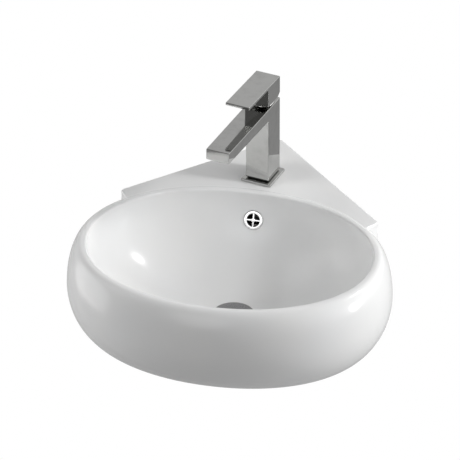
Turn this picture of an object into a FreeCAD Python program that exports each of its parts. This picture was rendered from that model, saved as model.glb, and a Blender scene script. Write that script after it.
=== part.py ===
import FreeCAD, Part
import math
import os

V = FreeCAD.Vector
os.makedirs("parts", exist_ok=True)

# Frame: the room corner is at X 0, Y 0, the walls run at 45 degrees, -Y is the front, Z 0 is the deck's top.

# Basin
WIDTH = 460.0            # overall, at the widest part of the skirt
FRONT = 484.5            # from the room's corner to the front of the skirt
RIM_B = 157.5            # half-depth of the rim's crest
OVAL = 0.579             # fullness of the oval, 0.552 is an ellipse
BULGE = 21.5             # the skirt swells this far beyond the rim
BULGE_Z = 62.5           # depth of the widest part below the deck
SKIRT_H = 148.0          # depth of the skirt's lower edge
TUCK = 71.0              # the skirt draws in this far from its widest part
SKIRT_T = 11.0           # wall of the skirt
LIP_W = 6.0              # rim, from its crest to the bowl's wall
LIP_PROUD = 1.2          # the crest stands above the deck
LIP_R = 3.0              # rounding into the bowl
BOWL_D = 128.0           # depth of the bowl's floor
BOWL_T = 11.0            # wall of the bowl
BOWL_ROUND = 1.6         # power of its curve; 1 is a cone, 2 a quarter ellipse
BOWL_FLAT = 0.22         # its flat floor, as a share of its mouth
FLOOR_T = 19.0           # china under the bowl's floor
WALL_L = 264.0           # each wall edge, from the corner
WALL_H = 116.0           # height of the china against the walls
WALL_T = 17.0            # wall panels
DECK_T = 16.0            # deck slab
END_L = 34.0             # end face of a wing
WING_IN = 24.0           # the end face runs on into the skirt
END_TURN = 12.0          # end face leans this far from square to the wall, degrees
END_T = 13.0
CORNER_CUT = 4.0        # chamfer that clears the plaster in the room's corner
EDGE_R = 3.0
TIP_R = 5.0              # rounded tip of a wing
FIX_ALONG = 178.0        # wall fixing hole, from the corner
FIX_Z = -62.0
FIX_R = 7.0              # oblong, so that the basin can be moved along its bolt
FIX_PLAY = 8.0

# Waste, a slotted click waste with a 1 1/4 inch tail
WASTE_Y = -282.0
WASTE_HOLE_R = 23.0
TAIL_R = 20.95
TAIL_BORE = 17.6
TAIL_L = 78.0            # from the floor of the bowl
TAIL_FREE = 38.0         # end that takes the trap, below a cutting groove
TAIL_BEVEL = 1.0
GROOVE_T = 1.5
FLANGE_R = 32.0
FLANGE_T = 3.0
FLANGE_ROOM = 12.0       # the bowl is cut clear of the flange up to here
SEAL_T = 1.5
SEAT_R = 21.5            # counterbore for the plug's seal
SEAT_DEEP = 1.2
CONE_T = 4.0             # seal below the basin
SLIP_T = 1.5
BACKNUT_T = 11.0
BACKNUT_AF = 54.0
PLUG_R = 29.5
PLUG_T = 2.0
PLUG_DOME = 1.8
PLUG_SEAL_T = 2.0
STEM_R = 3.0
LATCH_R = 6.5
LATCH_L = 26.0
LATCH_TOP = -152.0
LATCH_DROP = 2.0         # its band and arms below its top
LATCH_BAND_H = 8.0
LATCH_BAND_T = 1.8
LATCH_ARM_T = 2.5
SLOT_W = 9.0
SLOT_H = 9.0

# Overflow
OVER_Z = -39.0
OVER_HOLE_R = 11.0
OVER_RING_R = 14.0
OVER_RING_T = 2.4
OVER_SINK = 0.9          # flat seat cut into the bowl for the insert
OVER_SLEEVE = 9.0
OVER_SPOKE = 2.4
DUCT_R = 11.0
DUCT_BORE = 5.0
DUCT_TURN = 26.0         # the duct turns this far behind the waste hole
DUCT_MID = 0.58          # it bends round the bowl at these shares of the depth
DUCT_LOW = 0.82

# Tap, turned a little on the deck
TAP_Y = -106.0
TAP_TURN = -11.0
TAP_HOLE_R = 17.5
COL_W = 35.0             # column, across and front to back
COL_D = 39.0
PLATE_OUT = 5.5          # base plate beyond the column
PLATE_Z = 0.5            # the plate rides on its seal
PLATE_T = 4.0
PLATE_HOLE = 14.5
GAP_T = 1.6              # shadow gap over the plate
GAP_IN = 2.0
TOP = 124.0              # top of the body above the deck
SPOUT_L = 133.5          # from the column's front
SPOUT_ROOT = 19.0        # thickness at the column
SPOUT_TIP = 16.8
SPOUT_RISE = 2.5         # its top climbs this far to the end
TAP_EDGE = 0.8
BASE_SEAL_R = 21.0
BASE_SEAL_W = 3.0
BASE_SEAL_T = 1.5
BORE_R = 13.0            # cartridge bore
BORE_FLOOR = 87.0
INLET_X = 7.4
INLET_Y = -5.6
INLET_R = 4.6            # tapped M10 x 1
INLET_L = 14.0
DRILL_R = 2.0            # from each inlet up to its port under the cartridge
STUD_Y = 9.5
STUD_R = 3.0             # M6
STUD_IN = 16.0
STUD_END = -58.0
CLAMP_R = 26.0
CLAMP_SLOT = 14.0        # half-width of the opening for the hoses
RUBBER_T = 3.0
CLAMP_T = 2.5
NUT_AF = 10.0
NUT_L = 14.0
WATER_R = 4.0
WATER_Z = 116.3
RISE_X = 4.0             # half-width of the rising slot before the cartridge
RISE_IN = 2.0            # metal left in front of it
AER_IN = 15.0            # aerator axis, from the spout's end
AER_R = 10.0
AER_OUT = 3.5            # housing shows below the spout
AER_DEEP = 7.5
AER_WALL = 2.0
AER_LIP = 1.0
AER_SEAL_T = 1.5
AER_HOLE = 1.0

# Cartridge, 25 mm
PIVOT_Z = 104.0
CART_R = 12.5
CART_WALL = 1.7
CART_LOW = 89.0
CART_TOP = 115.0
CART_FLOOR = 3.0
PORT_X = 5.6
PORT_Y = -4.0
PORT_R = 2.0
OUT_Y = 5.5
OUT_R = 2.6
RING_W = 1.6
DISC_R = 10.4
DISC_T = 3.5
MOVE_R = 8.0
MOVE_T = 4.5
POCKET_R = 5.5
POCKET_T = 1.2
TONGUE_X = 5.0
TONGUE_Y = 4.0
TONGUE_IN = 2.0
ROTOR_R = 10.75
SLOT_Y = 9.0
PIN_R = 1.2
PIN_L = 20.0
STEM_X = 7.0
STEM_Y = 6.0
CNUT_T = 5.0
CNUT_HOLE = 9.5
DOME_R = 16.0
DOME_HOLE = 12.0
DOME_T = 4.5
DOME_BALL = 20.0

# Lever
LEVER_W = 36.5
REAR = 18.0              # back of the block, from the cartridge's axis
BLOCK_D = 39.0
LEVER_GAP = 5.5          # over the top of the body
BLOCK_H = 30.5
LEVER_L = 104.5
LEVER_RISE = 5.0
LEVER_T = 4.2
BEVEL_D = 6.5            # the block's lower rear edge clears the body when it tips back
BEVEL_H = 4.5
CUP_R = 11.0             # hollow below the block
CUP_T = 8.0
SOCKET_END = 17.0        # depth of the stem's socket above the block's underside
GRUB_R = 2.5
GRUB_UP = 12.5
GRUB_L = 10.0
CAP_R = 3.2
CAP_T = 2.5

# Clearances
RUN = 0.05               # running fits
FIT = 0.02               # screwed and pushed fits
FREE = 0.4               # pieces that must not touch

RIM_A = WIDTH / 2 - BULGE
RIM_Y = RIM_B + BULGE - FRONT
BOWL_A = RIM_A - LIP_W
BOWL_B = RIM_B - LIP_W
LIP_Z = LIP_PROUD - LIP_R   # where the rounding meets the bowl's wall
FLOOR_Z = -BOWL_D
UNDER_Z = FLOOR_Z - FLOOR_T


def box(x0, x1, y0, y1, z0, z1):
    return Part.makeBox(x1 - x0, y1 - y0, z1 - z0, V(x0, y0, z0))


def cyl(r, z0, z1, x=0.0, y=0.0):
    return Part.makeCylinder(r, z1 - z0, V(x, y, z0))


def rod(r, start, end):
    return Part.makeCylinder(r, (end - start).Length, start, end - start)


def ring(r_out, r_in, z0, z1, x=0.0, y=0.0):
    return cyl(r_out, z0, z1, x, y).cut(cyl(r_in, z0 - 1, z1 + 1, x, y))


def prism(points, z0, z1):
    outline = Part.makePolygon([V(x, y, z0) for x, y in points + points[:1]])
    return Part.Face(outline).extrude(V(0, 0, z1 - z0))


def side_prism(points, x0, x1):
    outline = Part.makePolygon([V(x0, y, z) for y, z in points + points[:1]])
    return Part.Face(outline).extrude(V(x1 - x0, 0, 0))


def turned(profile):
    outline = Part.makePolygon([V(r, 0, z) for r, z in profile + profile[:1]])
    return Part.Face(outline).revolve(V(0, 0, 0), V(0, 0, 1), 360)


def hexagon(across, z0, z1, x=0.0, y=0.0):
    r = across / math.sqrt(3)
    corners = [(x + r * math.cos(i * math.pi / 3), y + r * math.sin(i * math.pi / 3)) for i in range(6)]
    return prism(corners, z0, z1)


def rounded(solid, radius, choose):
    return solid.makeFillet(radius, [e for e in solid.Edges if choose(e)])


def upright(edge):
    a, b = edge.Vertexes[0].Point, edge.Vertexes[-1].Point
    return abs(a.x - b.x) + abs(a.y - b.y) < 1e-6


def at_height(edge, z):
    return all(abs(v.Point.z - z) < 1e-6 for v in edge.Vertexes)


def on_line(edge, y):
    return all(abs(v.Point.y - y) < 1e-6 for v in edge.Vertexes)


def on_deck(shape):
    placed = shape.copy()
    placed.rotate(V(0, 0, 0), V(0, 0, 1), TAP_TURN)
    placed.translate(V(0, TAP_Y, 0))
    return placed


def at_waste(shape):
    placed = shape.copy()
    placed.translate(V(0, WASTE_Y, 0))
    return placed


# Basin body: an oval bowl inside an open-bottomed skirt, with a hollow triangular deck behind it.
def oval(a, b, y, z):
    edges = []
    for sx, sy in ((1, 1), (-1, 1), (-1, -1), (1, -1)):
        side = V(sx * a, y, z)
        end = V(0, y + sy * b, z)
        poles = [side, V(sx * a, y + sy * OVAL * b, z), V(sx * OVAL * a, y + sy * b, z), end]
        if sx * sy < 0:
            poles.reverse()
        curve = Part.BezierCurve()
        curve.setPoles(poles)
        edges.append(curve.toShape())
    return Part.Wire(edges)


def skirt(inset, top, bottom):
    # two quarter ellipses: out from the rim's crest to the widest part, then in to the lower edge
    rows = []
    high = BULGE_Z + LIP_PROUD
    start = math.asin((BULGE_Z + top) / high)
    for i in range(5):
        turn = start * (1 - i / 5)
        rows.append((BULGE * math.cos(turn), high * math.sin(turn) - BULGE_Z))
    for i in range(5):
        turn = i / 4 * math.pi / 2
        rows.append((BULGE - TUCK * (1 - math.cos(turn)), -BULGE_Z - (SKIRT_H - BULGE_Z) * math.sin(turn)))
    rows = [oval(RIM_A + out - inset, RIM_B + out - inset, RIM_Y, z) for out, z in rows]
    body = Part.makeLoft(rows, True, inset > 0)
    if bottom < -SKIRT_H:
        foot = Part.Face(rows[-1]).extrude(V(0, 0, bottom + SKIRT_H))
        body = body.fuse(foot)
    return body


def bowl_scale(s):
    curve = max(0.0, 1 - s ** BOWL_ROUND) ** (1 / BOWL_ROUND)
    return BOWL_FLAT + (1 - BOWL_FLAT) * curve


def bowl_row(s, deep):
    # half-width, half-depth, middle and height of the bowl at a share s of its depth
    f = bowl_scale(s)
    low = bowl_scale(1)
    y = WASTE_Y + (RIM_Y - WASTE_Y) * (f - low) / (1 - low)
    return BOWL_A * f, BOWL_B * f, y, LIP_Z - s * (deep + LIP_Z)


def bowl(grow, deep):
    rows = []
    for i in range(7):
        a, b, y, z = bowl_row(math.sin(i / 6 * math.pi / 2), deep)
        rows.append(oval(a + grow, b + grow, y, z))
    return Part.makeLoft(rows, True, grow > 0)


def bowl_back(z):
    a, b, y, height = bowl_row((LIP_Z - z) / (BOWL_D + LIP_Z), BOWL_D)
    return V(0, y + b, height)


def bowl_lip():
    rows = []
    for i in range(4):
        turn = i / 3 * math.pi / 2
        out = LIP_R * (1 - math.cos(turn))
        z = LIP_Z + LIP_R * math.sin(turn)
        rows.append(oval(BOWL_A + out, BOWL_B + out, RIM_Y, z))
    rows.append(oval(BOWL_A + LIP_R, BOWL_B + LIP_R, RIM_Y, LIP_PROUD + 5))
    return Part.makeLoft(rows, True, True)


def deck_outline(wall, end):
    # half of the outline, corner to middle of the bowl, drawn in by the wall and end thickness
    h = math.sqrt(0.5)
    lean = math.radians(225 + END_TURN)
    tip = V(WALL_L * h, -WALL_L * h, 0)
    run = V(math.cos(lean), math.sin(lean), 0)
    side = V(run.y, -run.x, 0)
    inward = V(-h, -h, 0) * wall
    corner = tip + inward
    away = side * (-end if side.x > 0 else end)
    along = V(h, -h, 0)
    # the wall line drawn in by `wall` meets the end line drawn in by `end`
    gap = tip + away - corner
    t = (gap.x * run.y - gap.y * run.x) / (along.x * run.y - along.y * run.x)
    meet = corner + along * t
    low = meet + run * (END_L + WING_IN)
    cut = CORNER_CUT if wall == 0 else CORNER_CUT / 2
    base = wall / h
    half = [(cut, -base - cut), (meet.x, meet.y), (low.x, low.y)]
    return half + [(-x, y) for x, y in reversed(half)]


def deck_block():
    block = prism(deck_outline(0, 0), -WALL_H, 0)
    tip = max(v.Point.x for v in block.Vertexes)
    block = rounded(block, TIP_R, lambda e: upright(e) and abs(e.Vertexes[0].Point.x) > tip - 1)
    return rounded(block, EDGE_R, lambda e: at_height(e, 0))


def over_point():
    return bowl_back(OVER_Z)


def back_axis(z):
    # square to the bowl's back wall, into the china
    slope = bowl_back(z + 1) - bowl_back(z - 1)
    axis = V(0, slope.z, -slope.y)
    return axis.normalize()


def over_axis():
    return back_axis(OVER_Z)


def duct_path():
    # behind the overflow hole, down round the bowl and forward under its floor to the waste hole
    path = []
    for z in (OVER_Z, -BOWL_D * DUCT_MID, -BOWL_D * DUCT_LOW):
        path.append(bowl_back(z) + back_axis(z) * (OVER_SLEEVE + DUCT_R))
    low = UNDER_Z + DUCT_R
    path.append(V(0, WASTE_Y + WASTE_HOLE_R + DUCT_TURN, low))
    path.append(V(0, WASTE_Y, low))
    return path


def duct(radius, path):
    pieces = []
    for start, end in zip(path, path[1:]):
        pieces.append(rod(radius, start, end))
        pieces.append(Part.makeSphere(radius, end))
    return pieces[0].fuse(pieces[1:-1])


def fixing_hole(sx):
    through = WALL_T + 10
    slot = box(-FIX_PLAY / 2, FIX_PLAY / 2, -through, 0, -FIX_R, FIX_R)
    ends = [rod(FIX_R, V(x, 0, 0), V(x, -through, 0)) for x in (-FIX_PLAY / 2, FIX_PLAY / 2)]
    slot = slot.fuse(ends)
    slot.translate(V(sx * FIX_ALONG, 5, FIX_Z))
    slot.rotate(V(0, 0, 0), V(0, 0, 1), -45 * sx)
    return slot


def basin_body():
    outer = skirt(0, LIP_PROUD, -SKIRT_H)
    mouth = over_point()
    shell = bowl(BOWL_T, BOWL_D + FLOOR_T)
    channel = duct(DUCT_R, [mouth] + duct_path())
    inside = skirt(SKIRT_T, -DECK_T, -SKIRT_H - 5).cut([shell, channel])
    behind = prism(deck_outline(WALL_T, END_T), -WALL_H - 5, -DECK_T).cut(outer)
    body = outer.fuse([deck_block(), shell]).cut([inside, behind])
    body = body.cut(bowl(0, BOWL_D).fuse(bowl_lip()))
    seat = mouth + over_axis() * OVER_SINK
    air = mouth - over_axis() * 8
    passage = [
        rod(OVER_RING_R + FREE, air, seat),
        rod(OVER_HOLE_R, air, mouth + over_axis() * (OVER_SLEEVE + 3)),
        cyl(WASTE_HOLE_R, UNDER_Z - 5, FLOOR_Z + 5, 0, WASTE_Y),
        cyl(FLANGE_R + FREE, FLOOR_Z, FLOOR_Z + FLANGE_ROOM, 0, WASTE_Y),
        cyl(TAP_HOLE_R, -DECK_T - 5, 5, 0, TAP_Y),
        fixing_hole(1),
        fixing_hole(-1),
    ]
    return body.cut(passage + [duct(DUCT_BORE, [seat] + duct_path())])


# Overflow insert: a flanged sleeve with a cross of four spokes, pushed into the overflow hole.
def overflow_ring():
    sleeve = ring(OVER_HOLE_R - FIT, OVER_HOLE_R - 1.5, -OVER_SLEEVE, 0)
    inner, bevel = OVER_HOLE_R - 1.5, OVER_RING_T / 3
    flange = turned([
        (inner, 0), (OVER_RING_R, 0), (OVER_RING_R, bevel), (OVER_RING_R - 2 * bevel, OVER_RING_T),
        (inner + bevel, OVER_RING_T), (inner, OVER_RING_T - bevel),
    ])
    half = OVER_SPOKE / 2
    reach = OVER_HOLE_R - 1
    spokes = [box(-reach, reach, -half, half, 0, OVER_SPOKE), box(-half, half, -reach, reach, 0, OVER_SPOKE)]
    insert = flange.fuse([sleeve, cyl(OVER_SPOKE * 1.3, 0, OVER_SPOKE)] + spokes)
    out = over_axis() * -1
    insert.rotate(V(0, 0, 0), V(1, 0, 0), math.degrees(math.atan2(-out.y, out.z)))
    insert.translate(over_point() + over_axis() * OVER_SINK)
    return insert


# Waste: flange and threaded tail through the bowl's floor, clamped from below by its nut.
FLANGE_LOW = FLOOR_Z + SEAL_T
FLANGE_TOP = FLANGE_LOW + FLANGE_T
SEAT_Z = FLANGE_TOP - SEAT_DEEP
PLUG_LOW = SEAT_Z + PLUG_SEAL_T
NECK_LOW = SEAT_Z - 3.0
TAIL_END = FLOOR_Z - TAIL_L


def waste_body():
    groove = TAIL_END + TAIL_FREE
    body = turned([
        (TAIL_BORE, TAIL_END), (TAIL_R - TAIL_BEVEL, TAIL_END), (TAIL_R, TAIL_END + TAIL_BEVEL),
        (TAIL_R, groove), (TAIL_R - 0.8, groove), (TAIL_R - 0.8, groove + GROOVE_T), (TAIL_R, groove + GROOVE_T),
        (TAIL_R, FLANGE_LOW), (FLANGE_R, FLANGE_LOW),
        (FLANGE_R, FLANGE_LOW + FLANGE_T / 3), (FLANGE_R - 3, FLANGE_TOP), (SEAT_R, FLANGE_TOP),
        (SEAT_R, SEAT_Z), (TAIL_BORE, SEAT_Z),
    ])
    middle = (FLOOR_Z + UNDER_Z) / 2
    wide, high = SLOT_W / 2, SLOT_H / 2
    return body.cut([
        box(-wide, wide, -TAIL_R - 1, TAIL_R + 1, middle - high, middle + high),
        box(-TAIL_R - 1, TAIL_R + 1, -wide, wide, middle - high, middle + high),
    ])


def waste_top_seal():
    return ring(FLANGE_R - 1, WASTE_HOLE_R + 1, FLOOR_Z, FLANGE_LOW)


def waste_bottom_seal():
    low = UNDER_Z - CONE_T
    return turned([
        (TAIL_R + FIT, low), (FLANGE_R - 2, low), (FLANGE_R - 1, UNDER_Z),
        (WASTE_HOLE_R - FREE, UNDER_Z), (WASTE_HOLE_R - FREE, UNDER_Z + 1.5), (TAIL_R + FIT, UNDER_Z + 1.5),
    ])


def waste_slip_washer():
    high = UNDER_Z - CONE_T
    return ring(FLANGE_R - 2, TAIL_R + FIT, high - SLIP_T, high)


def waste_backnut():
    high = UNDER_Z - CONE_T - SLIP_T
    nut = hexagon(BACKNUT_AF, high - BACKNUT_T, high)
    collar = cyl(BACKNUT_AF / 2 - 1, high - BACKNUT_T - 3, high - BACKNUT_T)
    return nut.fuse(collar).cut(cyl(TAIL_R + FIT, high - BACKNUT_T - 5, high + 1))


def waste_latch_housing():
    hub = cyl(LATCH_R, LATCH_TOP - LATCH_L, LATCH_TOP)
    high = LATCH_TOP - LATCH_DROP
    low = high - LATCH_BAND_H
    half = LATCH_ARM_T / 2
    band = ring(TAIL_BORE - FIT, TAIL_BORE - LATCH_BAND_T, low, high)
    arm = box(0, TAIL_BORE - LATCH_BAND_T / 2, -half, half, low, high)
    arms = []
    for i in range(3):
        one = arm.copy()
        one.rotate(V(0, 0, 0), V(0, 0, 1), 120 * i + 90)
        arms.append(one)
    return hub.fuse([band] + arms).cut(cyl(STEM_R + RUN, LATCH_TOP - LATCH_L + 2, LATCH_TOP + 1))


def waste_plug():
    ball = (PLUG_R ** 2 + PLUG_DOME ** 2) / (2 * PLUG_DOME)
    high = PLUG_LOW + PLUG_T + PLUG_DOME
    cap = cyl(PLUG_R, PLUG_LOW, high).common(Part.makeSphere(ball, V(0, 0, high - ball)))
    neck = cyl(TAIL_BORE - 4, SEAT_Z, PLUG_LOW).fuse(cyl(TAIL_BORE - 1.6, NECK_LOW, SEAT_Z))
    return cap.fuse(neck)


def waste_plug_seal():
    return ring(SEAT_R - FREE, TAIL_BORE - 4 + FIT, SEAT_Z, PLUG_LOW)


def waste_plug_stem():
    return cyl(STEM_R, LATCH_TOP - LATCH_L + 3, NECK_LOW)


def waste_spring():
    turns, wire, mean = 6, 0.6, STEM_R + 1.3
    low, high = LATCH_TOP + wire, NECK_LOW - wire
    path = Part.makeHelix((high - low) / turns, high - low, mean)
    corners = [V(mean + wire * math.cos(i * math.pi / 3), 0, wire * math.sin(i * math.pi / 3)) for i in range(6)]
    coil = Part.Wire(path.Edges).makePipeShell([Part.makePolygon(corners + corners[:1])], True, True)
    coil.translate(V(0, 0, low))
    return coil


# Tap body: one casting, a square column with a flat spout.
NECK_Z = PLATE_Z + PLATE_T
COL_LOW = NECK_Z + GAP_T
HALF_W = COL_W / 2
HALF_D = COL_D / 2
TIP_Y = -HALF_D - SPOUT_L
AER_Y = TIP_Y + AER_IN


def spout_under(y):
    share = (-HALF_D - y) / SPOUT_L
    return TOP - SPOUT_ROOT + (SPOUT_ROOT + SPOUT_RISE - SPOUT_TIP) * share


AER_LOW = spout_under(AER_Y) - AER_OUT
AER_TOP = AER_LOW + AER_OUT + AER_DEEP


def tap_body():
    outline = [
        (HALF_D, COL_LOW), (HALF_D, TOP), (-HALF_D, TOP), (TIP_Y, TOP + SPOUT_RISE),
        (TIP_Y, TOP + SPOUT_RISE - SPOUT_TIP), (-HALF_D, TOP - SPOUT_ROOT), (-HALF_D, COL_LOW),
    ]
    body = side_prism(outline, -HALF_W, HALF_W)
    body = rounded(body, TAP_EDGE, lambda e: not (at_height(e, TOP) and on_line(e, -HALF_D)))
    x, y = HALF_W - GAP_IN, HALF_D - GAP_IN
    body = body.fuse(box(-x, x, -y, y, NECK_Z, COL_LOW + 2))
    drills = [
        cyl(BORE_R, BORE_FLOOR, TOP + 1),
        box(-RISE_X, RISE_X, -HALF_D + RISE_IN, -BORE_R + 3, BORE_FLOOR, WATER_Z + WATER_R),
        rod(WATER_R, V(0, -BORE_R, WATER_Z), V(0, AER_Y, WATER_Z)),
        cyl(AER_R + FIT, AER_LOW - 1, AER_TOP + AER_SEAL_T, 0, AER_Y),
        cyl(AER_R - 2.5, AER_TOP, WATER_Z + WATER_R, 0, AER_Y),
        cyl(STUD_R + FIT, NECK_Z - 1, NECK_Z + STUD_IN, 0, STUD_Y),
    ]
    for sx in (1, -1):
        drills.append(cyl(INLET_R, NECK_Z - 1, NECK_Z + INLET_L, sx * INLET_X, INLET_Y))
        drills.append(cyl(DRILL_R, NECK_Z + INLET_L, BORE_FLOOR + 1, sx * PORT_X, PORT_Y))
    return body.cut(drills)


def tap_base_plate():
    x, y = HALF_W + PLATE_OUT, HALF_D + PLATE_OUT
    plate = box(-x, x, -y, y, PLATE_Z, NECK_Z)
    plate = rounded(plate, 1.5, upright)
    plate = rounded(plate, TAP_EDGE, lambda e: at_height(e, NECK_Z))
    groove = ring(BASE_SEAL_R + FIT, BASE_SEAL_R - BASE_SEAL_W - FIT, PLATE_Z - 1, BASE_SEAL_T)
    return plate.cut([groove, cyl(PLATE_HOLE, PLATE_Z - 1, NECK_Z + 1)])


def tap_base_seal():
    return ring(BASE_SEAL_R, BASE_SEAL_R - BASE_SEAL_W, 0, BASE_SEAL_T)


# Fixing below the deck: a stud with a horseshoe of rubber, one of steel and a long nut.
def horseshoe(z0, z1):
    disc = cyl(CLAMP_R, z0, z1)
    mouth = cyl(CLAMP_SLOT, z0 - 1, z1 + 1, 0, STUD_Y - STUD_R - 3 - CLAMP_SLOT)
    mouth = mouth.fuse(box(-CLAMP_SLOT, CLAMP_SLOT, -CLAMP_R - 1, STUD_Y - STUD_R - 3 - CLAMP_SLOT, z0 - 1, z1 + 1))
    return disc.cut([mouth, cyl(STUD_R + FREE, z0 - 1, z1 + 1, 0, STUD_Y)])


def tap_rubber_washer():
    return horseshoe(-DECK_T - RUBBER_T, -DECK_T)


def tap_clamp_washer():
    high = -DECK_T - RUBBER_T
    return horseshoe(high - CLAMP_T, high)


def tap_clamp_nut():
    high = -DECK_T - RUBBER_T - CLAMP_T
    nut = hexagon(NUT_AF, high - NUT_L, high, 0, STUD_Y)
    return nut.cut(cyl(STUD_R + FIT, high - NUT_L - 1, high + 1, 0, STUD_Y))


def tap_stud():
    return cyl(STUD_R, STUD_END, NECK_Z + STUD_IN, 0, STUD_Y)


# Aerator, screwed up into the underside of the spout.
def aerator_housing():
    shell = ring(AER_R, AER_R - AER_WALL, AER_LOW, AER_TOP, 0, AER_Y)
    lip = ring(AER_R, AER_R - AER_WALL - AER_LIP, AER_LOW, AER_LOW + 1, 0, AER_Y)
    return shell.fuse(lip)


def aerator_insert():
    r = AER_R - AER_WALL - FIT
    disc = cyl(r, AER_LOW + 1, AER_TOP, 0, AER_Y)
    holes = []
    for count, reach in ((1, 0.0), (6, 3.0), (10, 5.6)):
        for i in range(count):
            turn = 2 * math.pi * i / count
            x, y = reach * math.cos(turn), AER_Y + reach * math.sin(turn)
            holes.append(cyl(AER_HOLE, AER_LOW, AER_TOP + 1, x, y))
    return disc.cut(holes)


def aerator_seal():
    return ring(AER_R - FIT, AER_R - 2.5, AER_TOP, AER_TOP + AER_SEAL_T, 0, AER_Y)


# Cartridge: two ceramic discs, a rotor and a rocking stem in a plastic housing.
DISC_LOW = CART_LOW + CART_FLOOR
MOVE_LOW = DISC_LOW + DISC_T + RUN
MOVE_TOP = MOVE_LOW + MOVE_T
ROTOR_LOW = MOVE_TOP + FREE
ROTOR_TOP = CART_TOP - FREE
CNUT_TOP = CART_TOP + CNUT_T


def ports(radius, z0, z1):
    return [cyl(radius, z0, z1, sx * PORT_X, PORT_Y) for sx in (1, -1)]


def cartridge_housing():
    shell = cyl(CART_R, CART_LOW, CART_TOP).cut(cyl(CART_R - CART_WALL, DISC_LOW, CART_TOP + 1))
    return shell.cut(ports(PORT_R, CART_LOW - 1, DISC_LOW + 1) + [cyl(OUT_R, CART_LOW - 1, DISC_LOW + 1, 0, OUT_Y)])


def cartridge_seals():
    inner = PORT_R + FREE
    seals = [ring(inner + RING_W, inner, BORE_FLOOR, CART_LOW, sx * PORT_X, PORT_Y) for sx in (1, -1)]
    return Part.makeCompound(seals)


def cartridge_fixed_disc():
    disc = cyl(DISC_R, DISC_LOW, DISC_LOW + DISC_T)
    return disc.cut(ports(PORT_R, DISC_LOW - 1, MOVE_LOW) + [cyl(OUT_R, DISC_LOW - 1, MOVE_LOW, 0, OUT_Y)])


def cartridge_moving_disc():
    disc = cyl(MOVE_R, MOVE_LOW, MOVE_TOP)
    pocket = cyl(POCKET_R, MOVE_LOW - 1, MOVE_LOW + POCKET_T)
    x, y = TONGUE_X / 2 + FREE, TONGUE_Y / 2 + 1.5 * FREE
    return disc.cut([pocket, box(-x, x, -y, y, MOVE_TOP - TONGUE_IN - 1.5 * FREE, MOVE_TOP + 1)])


def cartridge_rotor():
    rotor = cyl(ROTOR_R, ROTOR_LOW, ROTOR_TOP)
    x = STEM_X / 2 + RUN
    slot = box(-x, x, -SLOT_Y, SLOT_Y, ROTOR_LOW - 1, ROTOR_TOP + 1)
    return rotor.cut([slot, rod(PIN_R + FIT, V(-CART_R, 0, PIVOT_Z), V(CART_R, 0, PIVOT_Z))])


def cartridge_pin():
    return rod(PIN_R, V(-PIN_L / 2, 0, PIVOT_Z), V(PIN_L / 2, 0, PIVOT_Z))


def cartridge_stem():
    x, y = STEM_X / 2, STEM_Y / 2
    bar = box(-x, x, -y, y, ROTOR_LOW + FREE, STEM_TOP)
    x, y = TONGUE_X / 2, TONGUE_Y / 2
    tongue = box(-x, x, -y, y, MOVE_TOP - TONGUE_IN, ROTOR_LOW + FREE)
    return bar.fuse(tongue).cut(rod(PIN_R + RUN, V(-CART_R, 0, PIVOT_Z), V(CART_R, 0, PIVOT_Z)))


def cartridge_nut():
    nut = ring(BORE_R - FIT, CNUT_HOLE, CART_TOP, CNUT_TOP)
    half = 1.5
    notches = [box(-BORE_R, BORE_R, -half, half, CNUT_TOP - 1.5, CNUT_TOP + 1)]
    notches.append(box(-half, half, -BORE_R, BORE_R, CNUT_TOP - 1.5, CNUT_TOP + 1))
    return nut.cut(notches)


def cartridge_dome():
    drop = math.sqrt(DOME_BALL ** 2 - DOME_HOLE ** 2)
    cover = Part.makeSphere(DOME_BALL, V(0, 0, TOP + DOME_T - drop))
    cover = cover.common(ring(DOME_R, DOME_HOLE, TOP, TOP + DOME_T))
    return cover.fuse(ring(BORE_R - FIT, DOME_HOLE, CNUT_TOP, TOP))


# Lever: a flat plate on a square block, held on the stem by a grub screw at the back.
BLOCK_LOW = TOP + LEVER_GAP
BLOCK_TOP = BLOCK_LOW + BLOCK_H
STEM_TOP = BLOCK_LOW + SOCKET_END
GRUB_Z = BLOCK_LOW + GRUB_UP
BLOCK_FRONT = REAR - BLOCK_D


def lever_top(y):
    return BLOCK_TOP + LEVER_RISE * (REAR - y) / LEVER_L


def lever_handle():
    tip = REAR - LEVER_L
    outline = [
        (REAR, BLOCK_LOW + BEVEL_H), (REAR, lever_top(REAR)), (tip, lever_top(tip)),
        (tip, lever_top(tip) - LEVER_T), (BLOCK_FRONT, lever_top(BLOCK_FRONT) - LEVER_T), (BLOCK_FRONT, BLOCK_LOW),
        (REAR - BEVEL_D, BLOCK_LOW),
    ]
    lever = side_prism(outline, -LEVER_W / 2, LEVER_W / 2)
    lever = lever.makeFillet(TAP_EDGE, lever.Edges)
    x, y = STEM_X / 2 + FIT, STEM_Y / 2 + FIT
    return lever.cut([
        cyl(CUP_R, BLOCK_LOW - 1, BLOCK_LOW + CUP_T),
        box(-x, x, -y, y, BLOCK_LOW, STEM_TOP + FIT),
        rod(GRUB_R + FIT, V(0, 0, GRUB_Z), V(0, REAR + 1, GRUB_Z)),
        rod(CAP_R + FIT, V(0, REAR - CAP_T, GRUB_Z), V(0, REAR + 1, GRUB_Z)),
    ])


def lever_grub_screw():
    start = V(0, STEM_Y / 2, GRUB_Z)
    screw = rod(GRUB_R, start, start + V(0, GRUB_L, 0))
    key = hexagon(2.5, 0, 3)
    key.rotate(V(0, 0, 0), V(1, 0, 0), -90)
    key.translate(start + V(0, GRUB_L - 2.5, 0))
    return screw.cut(key)


def lever_screw_cap():
    return rod(CAP_R, V(0, REAR - CAP_T, GRUB_Z), V(0, REAR, GRUB_Z))


for make in (basin_body, overflow_ring):
    make().exportStep("parts/" + make.__name__ + ".step")

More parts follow.
